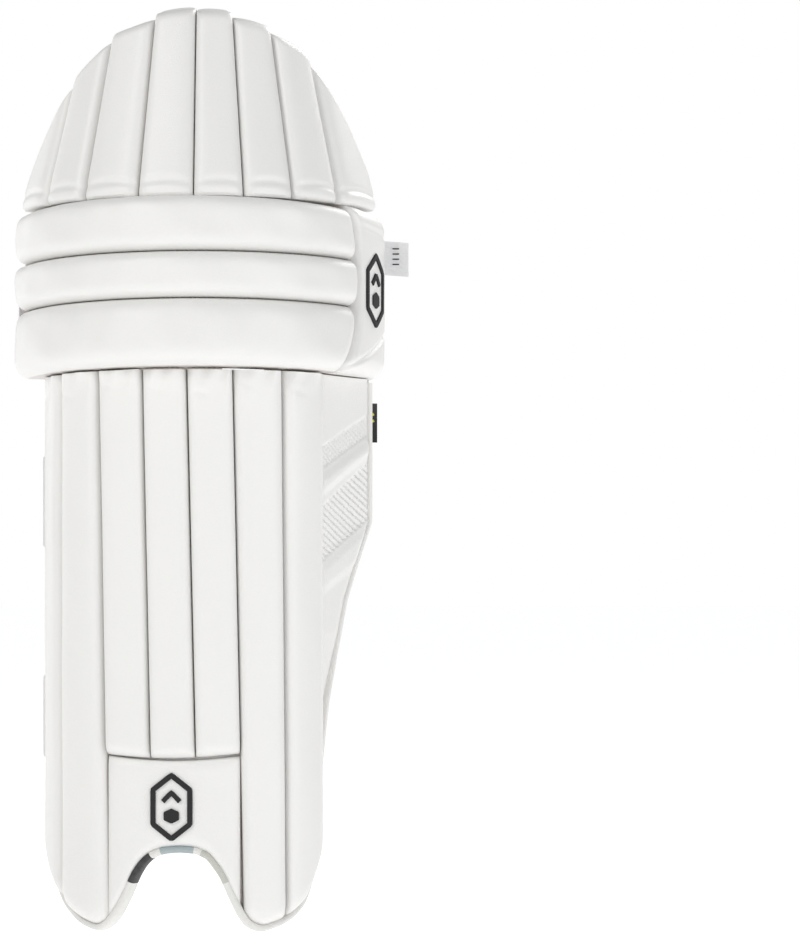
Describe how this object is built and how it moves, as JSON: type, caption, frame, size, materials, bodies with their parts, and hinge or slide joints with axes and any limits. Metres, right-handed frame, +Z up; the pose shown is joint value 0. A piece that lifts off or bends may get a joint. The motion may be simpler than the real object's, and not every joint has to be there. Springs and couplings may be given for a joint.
{
  "type": "cricket leg pad",
  "caption": "Left cricket batting leg pad: vertical shin rolls, knee rolls, fanned thigh flap, calf wing, padded lining and straps on rings.",
  "frame": {"origin": "on the axis of the wearer's leg, level with the lowest points of the two lobes over the instep", "axes": "+Z up the leg to the thigh, -Y the front that meets the ball, +X towards the wing, which is the outer side of a left leg"},
  "size_m": [0.303, 0.1736, 0.7],
  "materials": {
    "facing": "white grained polyurethane leather",
    "board_foam": "dense closed-cell foam board",
    "soft_foam": "soft open-cell foam",
    "mesh": "pale pinkish spacer mesh",
    "bolster_skin": "ivory ribbed polyurethane",
    "cane": "varnished cane",
    "emblem": "moulded black rubber outline",
    "binding": "folded grey and white edge binding",
    "ring": "white moulded plastic",
    "webbing": "woven white webbing with black and grey stripes",
    "tab": "stitched white thermoplastic tab",
    "loop_pile": "white loop pile of a hook-and-loop fastener",
    "badge": "yellow moulded badge",
    "label": "thin white satin label",
    "tag": "printed card, black with a yellow stripe"
  },
  "bodies": {
    "pad": {"shin_board": "board_foam", "shin_roll_1": "facing", "shin_roll_2": "facing", "shin_roll_3": "facing", "shin_roll_4": "facing", "shin_roll_5": "facing", "shin_roll_6": "facing", "shin_roll_7": "facing", "cane_rods": "cane", "instep_panel": "facing", "instep_emblem": "emblem", "instep_binding": "binding", "calf_wing": "facing", "wing_foam": "soft_foam", "wing_lining": "mesh", "shin_lining": "mesh", "centre_bolster": "bolster_skin", "outer_bolster": "bolster_skin", "inner_bolster": "bolster_skin", "bolster_foams": "soft_foam", "knee_board": "board_foam", "knee_roll_lower": "facing", "knee_roll_middle": "facing", "knee_roll_upper": "facing", "knee_side_panel": "facing", "knee_emblem": "emblem", "knee_wing_outer": "mesh", "knee_wing_inner": "mesh", "knee_wing_foams": "soft_foam", "knee_centre_panel": "bolster_skin", "care_label": "label", "strap_tongues": "tab", "knee_loop_strap": "loop_pile", "calf_loop_panel": "loop_pile", "ankle_loop_panel": "loop_pile", "knee_anchor": "webbing", "calf_anchors": "webbing", "ankle_anchor": "webbing", "hang_tag_loop": "webbing"},
    "thigh_flap": {"thigh_roll_1": "facing", "thigh_roll_2": "facing", "thigh_roll_3": "facing", "thigh_roll_4": "facing", "thigh_roll_5": "facing", "thigh_roll_6": "facing", "thigh_roll_7": "facing", "thigh_roll_8": "facing", "thigh_board": "board_foam", "thigh_inner_panel": "facing", "thigh_badge": "badge"},
    "knee_buckle": {"knee_ring": "ring"},
    "knee_band": {"knee_strap": "webbing", "knee_strap_tab": "tab"},
    "calf_buckle": {"calf_ring": "ring"},
    "calf_band": {"calf_strap": "webbing", "calf_strap_tab": "tab"},
    "ankle_buckle": {"ankle_ring": "ring"},
    "ankle_band": {"ankle_strap": "webbing", "ankle_strap_tab": "tab"},
    "tag": {"hang_tag": "tag"}
  },
  "joints": [
    {"name": "thigh_flap_tilt", "type": "hinge", "parent": "pad", "child": "thigh_flap", "pos_m": [0.014, -0.09366, 0.55638], "axis": [1, 0, 0], "range_deg": [0, 12], "stiffness_Nm_per_rad": 3},
    {"name": "knee_ring_swivel", "type": "hinge", "parent": "pad", "child": "knee_buckle", "pos_m": [0.13457, 0.02915, 0.4645], "axis": [0, 0, -1], "range_deg": [0, 35]},
    {"name": "knee_strap_swing", "type": "hinge", "parent": "knee_buckle", "child": "knee_band", "pos_m": [0.12252, 0.03604, 0.4645], "axis": [0, 0, -1], "range_deg": [0, 100]},
    {"name": "calf_ring_swivel", "type": "hinge", "parent": "pad", "child": "calf_buckle", "pos_m": [0.1145, 0.02094, 0.324], "axis": [0, 0, -1], "range_deg": [0, 35]},
    {"name": "calf_strap_swing", "type": "hinge", "parent": "calf_buckle", "child": "calf_band", "pos_m": [0.10244, 0.02664, 0.324], "axis": [0, 0, -1], "range_deg": [0, 100]},
    {"name": "ankle_ring_swivel", "type": "hinge", "parent": "pad", "child": "ankle_buckle", "pos_m": [0.10179, -0.00614, 0.16], "axis": [0, 0, -1], "range_deg": [0, 35]},
    {"name": "ankle_strap_swing", "type": "hinge", "parent": "ankle_buckle", "child": "ankle_band", "pos_m": [0.0897, 0.0051, 0.16], "axis": [0, 0, -1], "range_deg": [0, 100]},
    {"name": "tag_swing", "type": "hinge", "parent": "pad", "child": "tag", "pos_m": [0.142, 0.012, 0.401], "axis": [1, 0, 0], "range_deg": [0, 60]}
  ]
}
